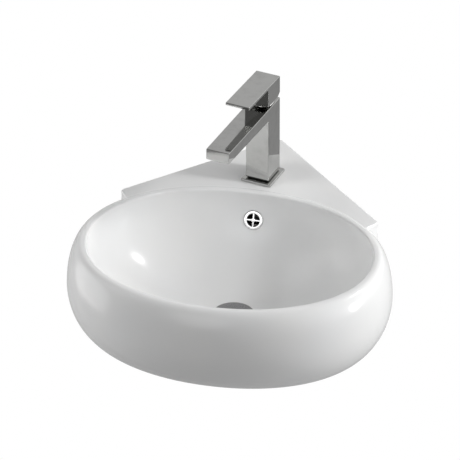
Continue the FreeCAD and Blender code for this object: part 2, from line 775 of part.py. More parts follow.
for make in (
    waste_body, waste_top_seal, waste_bottom_seal, waste_slip_washer, waste_backnut, waste_latch_housing,
    waste_plug, waste_plug_seal, waste_plug_stem, waste_spring,
):
    at_waste(make()).exportStep("parts/" + make.__name__ + ".step")

for make in (
    tap_body, tap_base_plate, tap_base_seal, tap_stud, tap_rubber_washer, tap_clamp_washer, tap_clamp_nut,
    aerator_housing, aerator_insert, aerator_seal, cartridge_housing, cartridge_seals, cartridge_fixed_disc,
    cartridge_moving_disc, cartridge_rotor, cartridge_pin, cartridge_stem, cartridge_nut, cartridge_dome,
    lever_handle, lever_grub_screw, lever_screw_cap,
):
    on_deck(make()).exportStep("parts/" + make.__name__ + ".step")
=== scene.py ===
import math

import bmesh
import bpy
from mathutils import Matrix, Vector


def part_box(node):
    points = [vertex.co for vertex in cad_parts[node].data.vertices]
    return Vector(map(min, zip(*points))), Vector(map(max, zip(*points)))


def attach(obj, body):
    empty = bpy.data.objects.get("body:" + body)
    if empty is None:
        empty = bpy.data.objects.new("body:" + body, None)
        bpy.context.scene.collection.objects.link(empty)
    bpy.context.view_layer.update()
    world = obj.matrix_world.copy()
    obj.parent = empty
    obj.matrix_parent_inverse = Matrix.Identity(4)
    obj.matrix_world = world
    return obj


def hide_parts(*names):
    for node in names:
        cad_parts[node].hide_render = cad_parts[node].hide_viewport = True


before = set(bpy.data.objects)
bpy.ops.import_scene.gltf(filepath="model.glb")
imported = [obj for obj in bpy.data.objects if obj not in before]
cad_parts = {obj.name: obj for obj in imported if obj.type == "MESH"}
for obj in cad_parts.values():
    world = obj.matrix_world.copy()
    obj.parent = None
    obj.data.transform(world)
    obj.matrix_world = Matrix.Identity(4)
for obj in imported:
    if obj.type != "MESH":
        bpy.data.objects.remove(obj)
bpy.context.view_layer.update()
scene = bpy.context.scene
MM = 0.001


# Bowl and skirt: vitreous china, slip-cast in one piece with the deck and glazed white all over. An oval bowl
# hangs inside a skirt that swells out from the rim's crest, draws in below and is open underneath.
basin_low, basin_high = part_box("basin_body")
basin_half_width = 230.0 * MM
basin_front = 484.5 * MM
skirt_swell = 21.5 * MM
skirt_widest = 62.5 * MM
skirt_depth = -basin_low.z
skirt_tuck = 71.0 * MM
skirt_wall = 11.0 * MM
foot_round = 3.0 * MM
crest_top = basin_high.z
crest_width = 6.0 * MM
crest_round = 3.0 * MM
crest_shoulder = crest_top - crest_round
crest_half_width = basin_half_width - skirt_swell
crest_half_depth = 157.5 * MM
crest_middle = crest_half_depth + skirt_swell - basin_front
oval_fullness = 0.579
bowl_depth = 128.0 * MM
bowl_wall = 11.0 * MM
bowl_round = 1.6
bowl_flat = 0.22
floor_thick = 19.0 * MM
bowl_under = bowl_depth + floor_thick
deck_thick = 16.0 * MM
waste_low, waste_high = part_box("waste_body")
waste_middle = (waste_low.y + waste_high.y) / 2
waste_hole = 23.0 * MM
bowl_steps, crest_steps, skirt_steps, foot_steps = 48, 7, 36, 4
inside_steps, inside_first, inside_last = 24, 3, 22


def oval_points(half_width, half_depth, middle, height, count=240):
    points = []
    quarter = count // 4
    for i in range(count):
        t = (i % quarter) / quarter
        along = (1 - t) ** 3 + 3 * (1 - t) ** 2 * t + 3 * (1 - t) * t * t * oval_fullness
        across = 3 * (1 - t) ** 2 * t * oval_fullness + 3 * (1 - t) * t * t + t ** 3
        x, y = ((along, across), (-across, along), (-along, -across), (across, -along))[i // quarter]
        points.append(Vector((x * half_width, middle + y * half_depth, height)))
    return points


def skin_over(name, rows, closed=False, caps=False):
    bm = bmesh.new()
    rings = [[bm.verts.new(p) for p in row] for row in rows]
    count = len(rings[0])
    for low, high in zip(rings, rings[1:] + rings[:1] if closed else rings[1:]):
        for i in range(count):
            j = (i + 1) % count
            bm.faces.new((low[i], low[j], high[j], high[i]))
    if caps:
        bm.faces.new(rings[0])
        bm.faces.new(rings[-1])
    bmesh.ops.recalc_face_normals(bm, faces=bm.faces)
    mesh = bpy.data.meshes.new(name)
    bm.to_mesh(mesh)
    bm.free()
    piece = bpy.data.objects.new(name, mesh)
    scene.collection.objects.link(piece)
    return piece


def shares(steps):
    return [i / steps for i in range(steps + 1)]


def quarter_turns(steps):
    return [share * math.pi / 2 for share in shares(steps)]


def skirt_reach(depth):
    if depth < skirt_widest:
        up = (skirt_widest - depth) / (skirt_widest + crest_top)
        return skirt_swell * math.sqrt(max(0.0, 1 - up * up))
    down = min(1.0, (depth - skirt_widest) / (skirt_depth - skirt_widest))
    return skirt_swell - skirt_tuck * (1 - math.sqrt(max(0.0, 1 - down * down)))


def crest_row(reach, height):
    return oval_points(crest_half_width + reach, crest_half_depth + reach, crest_middle, height)


def bowl_scale(s):
    curve = max(0.0, 1 - s ** bowl_round) ** (1 / bowl_round)
    return bowl_flat + (1 - bowl_flat) * curve


def bowl_row(s, grow, deep):
    f, low = bowl_scale(s), bowl_scale(1)
    middle = waste_middle + (crest_middle - waste_middle) * (f - low) / (1 - low)
    half_width = (crest_half_width - crest_width) * f + grow
    half_depth = (crest_half_depth - crest_width) * f + grow
    return oval_points(half_width, half_depth, middle, crest_shoulder - s * (deep + crest_shoulder))


# the rows run from the waste hole up the bowl, over the crest, down the skirt, round its foot and back inside
china_rows = [oval_points(waste_hole, waste_hole, waste_middle, -bowl_depth)]
china_rows += [bowl_row(math.sin(turn), 0, bowl_depth) for turn in reversed(quarter_turns(bowl_steps))]
for turn in quarter_turns(crest_steps)[1:]:
    inward = crest_width - crest_round * (1 - math.cos(turn))
    china_rows.append(crest_row(-inward, crest_shoulder + crest_round * math.sin(turn)))
for turn in quarter_turns(skirt_steps):
    depth = skirt_widest - (skirt_widest + crest_top) * math.cos(turn)
    china_rows.append(crest_row(skirt_reach(depth), -depth))
for turn in quarter_turns(skirt_steps)[1:]:
    depth = skirt_widest + (skirt_depth - skirt_widest) * math.sin(turn)
    china_rows.append(crest_row(skirt_reach(depth), -depth))
foot_reach = skirt_reach(skirt_depth)
china_rows.append(crest_row(foot_reach - skirt_wall + foot_round, -skirt_depth))
for turn in quarter_turns(foot_steps)[1:]:
    inward = skirt_wall - foot_round * (1 - math.sin(turn))
    china_rows.append(crest_row(foot_reach - inward, -skirt_depth + foot_round * (1 - math.cos(turn))))
for turn in reversed(quarter_turns(inside_steps)[inside_first:inside_last]):
    depth = skirt_depth * math.sin(turn)
    china_rows.append(crest_row(skirt_reach(depth) - skirt_wall, -max(depth, deck_thick)))
for turn in quarter_turns(inside_steps)[inside_first:]:
    china_rows.append(bowl_row(math.sin(turn), bowl_wall, bowl_under))
china_rows.append(oval_points(waste_hole, waste_hole, waste_middle, -bowl_under))
china_bowl = skin_over("china_bowl", china_rows, closed=True)


def apply_modifiers(piece):
    graph = bpy.context.evaluated_depsgraph_get()
    made = bpy.data.meshes.new_from_object(piece.evaluated_get(graph))
    piece.modifiers.clear()
    piece.data = made


def cut_out(piece, *tools):
    for tool in tools:
        modifier = piece.modifiers.new("cut_out", "BOOLEAN")
        modifier.operation = "DIFFERENCE"
        modifier.solver = "EXACT"
        modifier.object = tool
    apply_modifiers(piece)
    for tool in tools:
        bpy.data.objects.remove(tool)


def smooth(piece, sharpest):
    piece.data.shade_smooth()
    piece.data.set_sharp_from_angle(angle=math.radians(sharpest))


def full_turns(sides):
    return [i / sides * math.tau for i in range(sides)]


def rod(name, radius, start, end, sides=64):
    turn = (end - start).to_track_quat("Z", "Y")
    ring = [Vector((math.cos(t), math.sin(t), 0)) for t in full_turns(sides)]
    rows = [[place + turn @ (p * radius) for p in ring] for place in (start, end)]
    return skin_over(name, rows, caps=True)


# Overflow hole: cut square through the back wall of the bowl before firing, with a shallow flat seat round it
# for the insert. It opens into the duct behind.
overflow_height = -39.0 * MM
overflow_hole = 11.0 * MM
overflow_seat = 14.4 * MM
overflow_sink = 0.9 * MM
seat_ahead = 8.0 * MM
hole_ahead = 9.0 * MM
hole_deep = 15.0 * MM


def bowl_back(height):
    row = bowl_row((crest_shoulder - height) / (bowl_depth + crest_shoulder), 0, bowl_depth)
    return max(row, key=lambda p: p.y)


def back_inward(height):
    slope = bowl_back(height + MM) - bowl_back(height - MM)
    return Vector((0, slope.z, -slope.y)).normalized()


overflow_mouth = bowl_back(overflow_height)
overflow_inward = back_inward(overflow_height)


def overflow_rod(name, radius, ahead, deep):
    return rod(name, radius, overflow_mouth - overflow_inward * ahead, overflow_mouth + overflow_inward * deep)


seat_tool = overflow_rod("seat", overflow_seat, seat_ahead, overflow_sink)
hole_tool = overflow_rod("hole", overflow_hole, hole_ahead, hole_deep)
cut_out(china_bowl, seat_tool, hole_tool)
smooth(china_bowl, sharpest=40)


# Glaze: clear gloss fired over a white body. It pools a little unevenly, so its tint, its gloss and its
# surface vary by a trace over a few centimetres.
glaze_dark = (0.865, 0.87, 0.872)
glaze_light = (0.89, 0.89, 0.885)
glaze_roughness = (0.15, 0.22)
glaze_index = 1.52
glaze_ripple = 1.2 * MM
near_ripple = 0.25
pool_span = (0.3, 0.7)
haze_span = (0.3, 0.75)


def group_of(name, inputs, outputs):
    tree = bpy.data.node_groups.new(name, "ShaderNodeTree")
    for label, value in inputs.items():
        socket = tree.interface.new_socket(label, in_out="INPUT", socket_type="NodeSocketFloat")
        socket.default_value = value
    for label in outputs:
        tree.interface.new_socket(label, in_out="OUTPUT", socket_type="NodeSocketFloat")
    return tree, tree.nodes.new("NodeGroupInput"), tree.nodes.new("NodeGroupOutput")


def noise_in(tree, scale, detail=3.0, rough=0.5):
    place = tree.nodes.new("ShaderNodeTexCoord")
    noise = tree.nodes.new("ShaderNodeTexNoise")
    noise.inputs["Scale"].default_value = scale
    noise.inputs["Detail"].default_value = detail
    noise.inputs["Roughness"].default_value = rough
    tree.links.new(place.outputs["Object"], noise.inputs["Vector"])
    return noise.outputs["Fac"]


def spread_in(tree, source, across, onto):
    spread = tree.nodes.new("ShaderNodeMapRange")
    for label, value in zip(("From Min", "From Max", "To Min", "To Max"), across + onto):
        spread.inputs[label].default_value = value
    tree.links.new(source, spread.inputs["Value"])
    return spread.outputs["Result"]


def sum_in(tree, operation, a, b):
    node = tree.nodes.new("ShaderNodeMath")
    node.operation = operation
    for socket, value in zip(node.inputs, (a, b)):
        if isinstance(value, (int, float)):
            socket.default_value = value
        else:
            tree.links.new(value, socket)
    return node.outputs[0]


def shade_between(tree, share, dark, light):
    ramp = tree.nodes.new("ShaderNodeValToRGB")
    ramp.color_ramp.elements[0].color = (*dark, 1)
    ramp.color_ramp.elements[1].color = (*light, 1)
    tree.links.new(share, ramp.inputs["Fac"])
    return ramp.outputs["Color"]


def finish_named(name):
    finish = bpy.data.materials.new(name)
    finish.use_nodes = True
    return finish, finish.node_tree, finish.node_tree.nodes["Principled BSDF"]


def place_group(tree, group, **values):
    node = tree.nodes.new("ShaderNodeGroup")
    node.node_tree = group
    for label, value in values.items():
        node.inputs[label].default_value = value
    return node.outputs


def raise_surface(tree, bsdf, height, strength, distance):
    bump = tree.nodes.new("ShaderNodeBump")
    bump.inputs["Strength"].default_value = strength
    bump.inputs["Distance"].default_value = distance
    tree.links.new(height, bump.inputs["Height"])
    tree.links.new(bump.outputs["Normal"], bsdf.inputs["Normal"])


def coat(piece, finish):
    piece.data.materials.clear()
    piece.data.materials.append(finish)


glaze_pooling, pool_in, pool_out = group_of("glaze_pooling", {"Gloss": 1.0}, ["Pool", "Roughness", "Height"])
wide_pool = noise_in(glaze_pooling, scale=11, detail=2)
near_pool = noise_in(glaze_pooling, scale=46)
haze = noise_in(glaze_pooling, scale=300, detail=4, rough=0.6)
glaze_pooling.links.new(spread_in(glaze_pooling, wide_pool, pool_span, (0, 1)), pool_out.inputs["Pool"])
haze_level = spread_in(glaze_pooling, haze, haze_span, glaze_roughness)
haze_level = sum_in(glaze_pooling, "MULTIPLY", haze_level, pool_in.outputs["Gloss"])
glaze_pooling.links.new(haze_level, pool_out.inputs["Roughness"])
near_height = sum_in(glaze_pooling, "MULTIPLY", near_pool, near_ripple)
pool_height = sum_in(glaze_pooling, "ADD", wide_pool, near_height)
glaze_pooling.links.new(pool_height, pool_out.inputs["Height"])

china_glaze, tree, bsdf = finish_named("china_glaze")
pool = place_group(tree, glaze_pooling, Gloss=1.0)
tree.links.new(shade_between(tree, pool["Pool"], glaze_dark, glaze_light), bsdf.inputs["Base Color"])
tree.links.new(pool["Roughness"], bsdf.inputs["Roughness"])
raise_surface(tree, bsdf, pool["Height"], strength=0.12, distance=glaze_ripple)
bsdf.inputs["IOR"].default_value = glaze_index
coat(china_bowl, china_glaze)
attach(china_bowl, "basin")
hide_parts("basin_body")


# Deck: the triangular back of the same casting, level with the rim and hollow below. Its two straight walls
# stand against the room's, each with an oblong hole for a bolt, and a round hole in the slab takes the tap.
wall_length = 264.0 * MM
wall_height = 116.0 * MM
wall_thick = 17.0 * MM
end_length = 58.0 * MM
end_lean = 12
end_turn = math.radians(225 + end_lean)
end_thick = 13.0 * MM
corner_cut = 4.0 * MM
deck_round = 3.0 * MM
tip_round = 5.0 * MM
tap_hole = 17.5 * MM
tap_middle = -106.0 * MM
tap_bore_low = -40.0 * MM
bolt_along = 178.0 * MM
bolt_height = -62.0 * MM
bolt_hole = 7.0 * MM
bolt_play = 8.0 * MM
tool_over = 5.0 * MM
core_over = 10.0 * MM
slant = math.sqrt(0.5)


def deck_half(wall, end):
    tip = Vector((wall_length * slant, -wall_length * slant))
    run = Vector((math.cos(end_turn), math.sin(end_turn)))
    along = Vector((slant, -slant))
    corner = tip - Vector((slant, slant)) * wall
    gap = tip + Vector((run.y, -run.x)) * end - corner
    meet = corner + along * ((gap.x * run.y - gap.y * run.x) / (along.x * run.y - along.y * run.x))
    cut = corner_cut if wall == 0 else corner_cut / 2
    return Vector((cut, -wall / slant - cut)), meet, meet + run * end_length, along, run


def rounded_tip(tip, before, after, radius, steps=8):
    # arc that touches the run before the tip and the run after it
    half = (math.pi - before.angle(after)) / 2
    back = radius / math.tan(half)
    middle = tip + (after - before).normalized() * (radius / math.sin(half))
    start, end = tip - before * back - middle, tip + after * back - middle
    return [middle + start.slerp(end, share) * radius for share in shares(steps)]


def upright(name, outline, low, high):
    return skin_over(name, [[(x, y, z) for x, y in outline] for z in (low, high)], caps=True)


def both_sides(half):
    return [tuple(p) for p in half] + [(-p[0], p[1]) for p in reversed(half)]


def bolt_slot(side, steps=12):
    slot = []
    for end in (1, -1):
        for share in shares(steps):
            turn = math.pi * (share - 0.5)
            along = bolt_play / 2 + bolt_hole * math.cos(turn)
            slot.append((end * along, end * bolt_hole * math.sin(turn)))
    across, up = Vector((side * slant, -slant, 0)), Vector((0, 0, 1))
    inward = Vector((-side * slant, -slant, 0))
    middle = across * bolt_along + up * bolt_height
    rows = []
    for deep in (-tool_over, wall_thick + tool_over):
        rows.append([middle + across * x + up * z + inward * deep for x, z in slot])
    return skin_over("slot", rows, caps=True)


def bevelled(piece, width, segments=3, limit=20):
    edge = piece.modifiers.new("edge", "BEVEL")
    edge.width = width
    edge.segments = segments
    edge.angle_limit = math.radians(limit)


corner_point, wing_tip, wing_root, wall_run, end_run = deck_half(0, 0)
deck_edge = [corner_point] + rounded_tip(wing_tip, wall_run, end_run, tip_round) + [wing_root]
china_deck = upright("china_deck", both_sides(deck_edge), -wall_height, 0)
bevelled(china_deck, deck_round, segments=5, limit=25)
hollow_half = deck_half(wall_thick, end_thick)[:3]
hollow = upright("hollow", both_sides(hollow_half), -wall_height - core_over, -deck_thick)
core_rows = [crest_row(-crest_width / 2, core_over), crest_row(-crest_width / 2, 0)]
for turn in quarter_turns(inside_steps)[1:]:
    depth = skirt_depth * math.sin(turn)
    core_rows.append(crest_row(skirt_reach(depth) - skirt_wall / 2, -depth))
core = skin_over("core", core_rows, caps=True)
tap_bore = rod("tap_bore", tap_hole, Vector((0, tap_middle, tap_bore_low)), Vector((0, tap_middle, core_over)))
cut_out(china_deck, hollow, core, tap_bore, bolt_slot(1), bolt_slot(-1))
smooth(china_deck, sharpest=35)
coat(china_deck, china_glaze)
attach(china_deck, "basin")


# Overflow duct: a round channel cast on the outside of the bowl. It runs from the overflow hole down round the
# back of the bowl and forward under its floor to the waste hole. Its inside has no glaze; it is coloured near
# black, which is painted shade.
duct_radius = 11.0 * MM
duct_thin = 0.1 * MM
duct_away = 20.0 * MM
duct_start = 9.2 * MM
duct_bend_shares = (0.58, 0.82)
duct_bends = [overflow_height] + [-share * bowl_depth for share in duct_bend_shares]
duct_turn = waste_middle + waste_hole + 26.0 * MM
duct_stop = waste_middle + waste_hole + 4.0 * MM
duct_ease = 9.0 * MM
duct_flat = waste_middle + 46.0 * MM
duct_cover = 1.5 * MM
duct_dark = (0.74, 0.74, 0.73)
duct_light = (0.81, 0.81, 0.8)
duct_inside_painted_shade = (0.005, 0.005, 0.005)
duct_corners = [overflow_mouth + overflow_inward * duct_start]
duct_corners += [bowl_back(height) + back_inward(height) * duct_away for height in duct_bends]
duct_corners += [Vector((0, y, duct_radius - bowl_under)) for y in (duct_turn, duct_stop)]


def eased(corners, reach, steps=8):
    path = [corners[0]]
    for before, corner, after in zip(corners, corners[1:], corners[2:]):
        start = corner + (before - corner).normalized() * reach
        end = corner + (after - corner).normalized() * reach
        for share in shares(steps):
            path.append(start.lerp(corner, share).lerp(corner.lerp(end, share), share))
    return path + [corners[-1]]


def channel(name, path, radius, sides=40):
    across = Vector((1, 0, 0))
    rows = []
    for i, place in enumerate(path):
        run = (path[min(i + 1, len(path) - 1)] - path[max(i - 1, 0)]).normalized()
        up = run.cross(across)
        rows.append([place + (across * math.cos(t) + up * math.sin(t)) * radius for t in full_turns(sides)])
    return skin_over(name, rows)


overflow_duct = channel("overflow_duct", eased(duct_corners, duct_ease), duct_radius - duct_thin)
# its last stretch lies in the thickness of the bowl's floor, which cuts its top flat
for corner in overflow_duct.data.vertices:
    if corner.co.y < duct_flat:
        corner.co.z = min(corner.co.z, -bowl_depth - duct_cover)
smooth(overflow_duct, sharpest=50)
duct_china_with_painted_shade, tree, bsdf = finish_named("duct_china_with_painted_shade")
pool = place_group(tree, glaze_pooling, Gloss=2.0)
# faces seen from inside the duct get a near-black colour instead of the glaze: painted shade for the dark
# channel
side = tree.nodes.new("ShaderNodeNewGeometry")
shade = tree.nodes.new("ShaderNodeMix")
shade.data_type = "RGBA"
shade.inputs["B"].default_value = (*duct_inside_painted_shade, 1)
tree.links.new(side.outputs["Backfacing"], shade.inputs["Factor"])
tree.links.new(shade_between(tree, pool["Pool"], duct_dark, duct_light), shade.inputs["A"])
tree.links.new(shade.outputs["Result"], bsdf.inputs["Base Color"])
tree.links.new(pool["Roughness"], bsdf.inputs["Roughness"])
raise_surface(tree, bsdf, pool["Height"], strength=0.2, distance=glaze_ripple)
coat(overflow_duct, duct_china_with_painted_shade)
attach(overflow_duct, "basin")


# Overflow insert: a chromed plastic ring with a cross of four spokes round a small hub, on a short sleeve of
# bare black plastic that is pushed into its hole. The ring's chrome is tinted near white, paler than chrome, as
# painted light, and the sleeve is near black, darker than plastic, as painted shade in the hole.
ring_outer = 14.0 * MM
ring_inner = 9.5 * MM
ring_thick = 2.4 * MM
ring_back = 0.9 * MM
ring_edge = 1.2 * MM
ring_lip = 0.5 * MM
sleeve_inner = ring_inner + 0.1 * MM
sleeve_outer = 10.95 * MM
sleeve_deep = 9.0 * MM
sleeve_shoulder = -0.1 * MM
sleeve_top = 0.8 * MM
sleeve_taper = 0.2 * MM
spoke_thick = 2.4 * MM
spoke_reach = 10.0 * MM
spoke_edge = 0.5 * MM
hub_radius = 3.1 * MM
hub_axis = 0.01 * MM
hub_round = 0.8 * MM
hub_top = spoke_thick + 0.05 * MM


def turned(name, profile, place=Matrix(), sides=96):
    ring = [(math.cos(t), math.sin(t)) for t in full_turns(sides)]
    rows = []
    for radius, height in profile:
        rows.append([place @ Vector((radius * x, radius * y, height)) for x, y in ring])
    piece = skin_over(name, rows, closed=True)
    smooth(piece, sharpest=40)
    return piece


def round_over(centre, radius, start, end, steps=6):
    # arc of a profile, its angles in degrees
    turns = [math.radians(start + (end - start) * share) for share in shares(steps)]
    return [(centre[0] + radius * math.cos(t), centre[1] + radius * math.sin(t)) for t in turns]


overflow_turn = (-overflow_inward).to_track_quat("Z", "Y").to_matrix().to_4x4()
overflow_place = Matrix.Translation(overflow_mouth + overflow_inward * overflow_sink) @ overflow_turn
ring_profile = [(ring_inner, ring_back), (sleeve_outer, ring_back), (sleeve_outer, 0), (ring_outer, 0)]
ring_profile += round_over((ring_outer - ring_edge, ring_thick - ring_edge), ring_edge, 0, 90)
ring_profile += round_over((ring_inner + ring_lip, ring_thick - ring_lip), ring_lip, 90, 180)
overflow_insert = turned("overflow_insert", ring_profile, overflow_place)
sleeve_profile = [
    (sleeve_inner, -sleeve_deep), (sleeve_outer, -sleeve_deep), (sleeve_outer, sleeve_shoulder),
    (sleeve_outer - sleeve_taper, sleeve_top), (sleeve_inner, sleeve_top),
]
overflow_sleeve = turned("overflow_sleeve", sleeve_profile, overflow_place)

# chrome: smears and dried drops take a little of its gloss, and polishing leaves it not quite flat
plating_marks, marks_in, marks_out = group_of(
    "plating_marks", {"Amount": 1.0}, ["Smear", "Roughness", "Height"])
polished_roughness = 0.045
smear_haze, drop_haze = 0.05, 0.12
smear_span, drop_span = (0.46, 0.72), (0.16, 0.1)
drops_per_m = 420
smear = noise_in(plating_marks, scale=60, detail=5, rough=0.62)
smear_level = spread_in(plating_marks, smear, smear_span, (0, 1))
drops = plating_marks.nodes.new("ShaderNodeTexVoronoi")
drops.inputs["Scale"].default_value = drops_per_m
drops_place = plating_marks.nodes.new("ShaderNodeTexCoord")
plating_marks.links.new(drops_place.outputs["Object"], drops.inputs["Vector"])
drop_level = spread_in(plating_marks, drops.outputs["Distance"], drop_span, (0, 1))
drop_level = sum_in(plating_marks, "MULTIPLY", drop_level, smear_level)
smears = sum_in(plating_marks, "MULTIPLY", smear_level, smear_haze)
marks = sum_in(plating_marks, "ADD", smears, sum_in(plating_marks, "MULTIPLY", drop_level, drop_haze))
marks = sum_in(plating_marks, "MULTIPLY", marks, marks_in.outputs["Amount"])
plating_marks.links.new(sum_in(plating_marks, "ADD", marks, polished_roughness), marks_out.inputs["Roughness"])
plating_marks.links.new(smear_level, marks_out.inputs["Smear"])
plating_marks.links.new(noise_in(plating_marks, scale=35, detail=2), marks_out.inputs["Height"])


def plated(name, dull, bright, amount):
    finish, tree, bsdf = finish_named(name)
    marks = place_group(tree, plating_marks, Amount=amount)
    tree.links.new(shade_between(tree, marks["Smear"], bright, dull), bsdf.inputs["Base Color"])
    tree.links.new(marks["Roughness"], bsdf.inputs["Roughness"])
    bsdf.inputs["Metallic"].default_value = 1
    raise_surface(tree, bsdf, marks["Height"], strength=0.06, distance=0.8 * MM)
    return finish


chrome_plate = plated("chrome_plate", dull=(0.48, 0.48, 0.47), bright=(0.54, 0.54, 0.53), amount=1.0)
# the insert's chrome is tinted near white, much paler than the tap's: painted light that makes the ring read as
# brightly lit
insert_chrome_painted_light = plated("insert_chrome_painted_light", dull=(0.93, 0.93, 0.93), bright=(0.98, 0.98, 0.98), amount=3.0)
coat(overflow_insert, insert_chrome_painted_light)
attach(overflow_insert, "basin")
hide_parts("overflow_ring")

# moulded plastic and rubber: a fine grain from the mould, under wider clouds of tint and gloss
moulded_grain, grain_in, grain_out = group_of(
    "moulded_grain", {"Fineness": 1.0}, ["Grain", "Cloud", "Roughness"])
grains_per_m = 1800
cloud_span = (0.3, 0.7)
moulded_roughness = (0.42, 0.68)
grain_place = moulded_grain.nodes.new("ShaderNodeTexCoord")
grain = moulded_grain.nodes.new("ShaderNodeTexNoise")
grain.inputs["Detail"].default_value = 2
moulded_grain.links.new(grain_place.outputs["Object"], grain.inputs["Vector"])
grain_scale = sum_in(moulded_grain, "MULTIPLY", grain_in.outputs["Fineness"], grains_per_m)
moulded_grain.links.new(grain_scale, grain.inputs["Scale"])
cloud = noise_in(moulded_grain, scale=90)
moulded_grain.links.new(grain.outputs["Fac"], grain_out.inputs["Grain"])
moulded_grain.links.new(cloud, grain_out.inputs["Cloud"])
cloud_level = spread_in(moulded_grain, cloud, cloud_span, moulded_roughness)
moulded_grain.links.new(cloud_level, grain_out.inputs["Roughness"])


def moulded(name, dark, light, fineness, strength):
    finish, tree, bsdf = finish_named(name)
    skin = place_group(tree, moulded_grain, Fineness=fineness)
    tree.links.new(shade_between(tree, skin["Cloud"], dark, light), bsdf.inputs["Base Color"])
    tree.links.new(skin["Roughness"], bsdf.inputs["Roughness"])
    raise_surface(tree, bsdf, skin["Grain"], strength, distance=0.2 * MM)
    return finish


# black plastic made near black, darker than the rubber, as painted shade: the hole behind the spokes reads as
# dark
sleeve_black_painted_shade = moulded(
    "sleeve_black_painted_shade", dark=(0.006, 0.006, 0.006), light=(0.012, 0.012, 0.012), fineness=0.8, strength=0.2)
coat(overflow_sleeve, sleeve_black_painted_shade)
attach(overflow_sleeve, "basin")


def flat_faces(piece):
    # keeps the flat faces flat where a rounded edge runs into them
    piece.data.shade_smooth()
    even = piece.modifiers.new("even", "WEIGHTED_NORMAL")
    even.keep_sharp = True
    apply_modifiers(piece)


spoke_half = spoke_thick / 2
spoke_outline = []
for sx, sy in ((1, 1), (-1, 1), (-1, -1), (1, -1)):
    arm = [(spoke_reach, spoke_half), (spoke_half, spoke_half), (spoke_half, spoke_reach)]
    spoke_outline += [(sx * x, sy * y) for x, y in (arm if sx * sy > 0 else reversed(arm))]
overflow_spokes = upright("overflow_spokes", spoke_outline, 0, spoke_thick)
bevelled(overflow_spokes, spoke_edge)
flat_faces(overflow_spokes)
overflow_spokes.data.transform(overflow_place)
hub_profile = [(hub_axis, 0), (hub_radius, 0)]
hub_profile += round_over((hub_radius - hub_round, hub_top - hub_round), hub_round, 0, 90)
hub_profile += [(hub_axis, hub_top)]
overflow_hub = turned("overflow_hub", hub_profile, overflow_place, sides=48)
for piece in (overflow_spokes, overflow_hub):
    coat(piece, insert_chrome_painted_light)
    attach(piece, "basin")


# Waste body: a brass turning, chromed, with a flange in the bowl, four slots that take the overflow and a
# threaded tail below for the trap's collar.
def dress(finish, *names):
    for name in names:
        coat(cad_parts[name], finish)


tail_chrome = plated("tail_chrome", dull=(0.46, 0.46, 0.46), bright=(0.56, 0.56, 0.565), amount=2.0)
dress(tail_chrome, "waste_body")


# Plug: a shallow steel cap with a rounded edge, turned and then brushed in circles. It clicks up and down on
# its stem, and a short collar below holds its seal.
plug_radius = 29.5 * MM
plug_low, plug_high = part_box("waste_plug")
plug_dome = 1.8 * MM
plug_skirt = plug_high.z - 3.8 * MM
plug_ball = (plug_radius ** 2 + plug_dome ** 2) / (2 * plug_dome)
plug_axis = 0.03 * MM
plug_chamfer = 0.4 * MM
plug_edge = 0.9 * MM
plug_edge_drop = 0.95 * MM
collar_radius = 16.0 * MM
collar_top = plug_low.z + 3 * MM
neck_radius = 13.6 * MM
plug_place = Matrix.Translation((0, waste_middle, 0))


def plug_height(radius):
    return plug_high.z - plug_ball + math.sqrt(plug_ball ** 2 - radius ** 2)


plug_profile = [
    (collar_radius, plug_low.z), (collar_radius, collar_top), (neck_radius, collar_top),
    (neck_radius, plug_skirt), (plug_radius - plug_chamfer, plug_skirt),
    (plug_radius, plug_skirt + plug_chamfer),
]
edge_middle = (plug_radius - plug_edge, plug_height(plug_radius) - plug_edge_drop)
plug_profile += round_over(edge_middle, plug_edge, 0, 80)
crown_shares = (0.9, 0.75, 0.6, 0.45, 0.3, 0.15, 0.001)
plug_profile += [(plug_radius * s, plug_height(plug_radius * s)) for s in crown_shares]
plug_profile += [(plug_axis, plug_low.z)]
plug_cap = turned("plug_cap", plug_profile, plug_place, sides=128)

# tool marks: fine circles round the piece's own axis, as a lathe or a brush leaves them
tool_marks, tool_in, tool_out = group_of("tool_marks", {"Middle": 0.0, "Pitch": 1.0}, ["Line", "Roughness"])
lines_per_m = 2600
line_span = (0.25, 0.75)
tool_roughness = (0.2, 0.36)
tool_place = tool_marks.nodes.new("ShaderNodeTexCoord")
apart = tool_marks.nodes.new("ShaderNodeSeparateXYZ")
tool_marks.links.new(tool_place.outputs["Object"], apart.inputs["Vector"])
from_middle = sum_in(tool_marks, "SUBTRACT", apart.outputs["Y"], tool_in.outputs["Middle"])
square_x = sum_in(tool_marks, "POWER", apart.outputs["X"], 2)
square_y = sum_in(tool_marks, "MULTIPLY", from_middle, from_middle)
from_axis = sum_in(tool_marks, "SQRT", sum_in(tool_marks, "ADD", square_x, square_y), 0)
reach = sum_in(tool_marks, "ADD", from_axis, apart.outputs["Z"])
line_pitch = sum_in(tool_marks, "MULTIPLY", tool_in.outputs["Pitch"], lines_per_m)
fine_line = tool_marks.nodes.new("ShaderNodeTexNoise")
fine_line.noise_dimensions = "1D"
fine_line.inputs["Detail"].default_value = 2
tool_marks.links.new(sum_in(tool_marks, "MULTIPLY", reach, line_pitch), fine_line.inputs["W"])
line = fine_line.outputs["Fac"]
tool_marks.links.new(line, tool_out.inputs["Line"])
tool_marks.links.new(spread_in(tool_marks, line, line_span, tool_roughness), tool_out.inputs["Roughness"])


def machined(name, dark, light, middle, pitch, strength):
    finish, tree, bsdf = finish_named(name)
    lines = place_group(tree, tool_marks, Middle=middle, Pitch=pitch)
    tree.links.new(shade_between(tree, lines["Line"], dark, light), bsdf.inputs["Base Color"])
    tree.links.new(lines["Roughness"], bsdf.inputs["Roughness"])
    bsdf.inputs["Metallic"].default_value = 1
    raise_surface(tree, bsdf, lines["Line"], strength, distance=0.1 * MM)
    return finish


plug_steel = machined(
    "plug_steel", dark=(0.27, 0.27, 0.275), light=(0.34, 0.34, 0.345),
    middle=waste_middle, pitch=1.0, strength=0.15)
coat(plug_cap, plug_steel)
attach(plug_cap, "plug")
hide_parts("waste_plug")


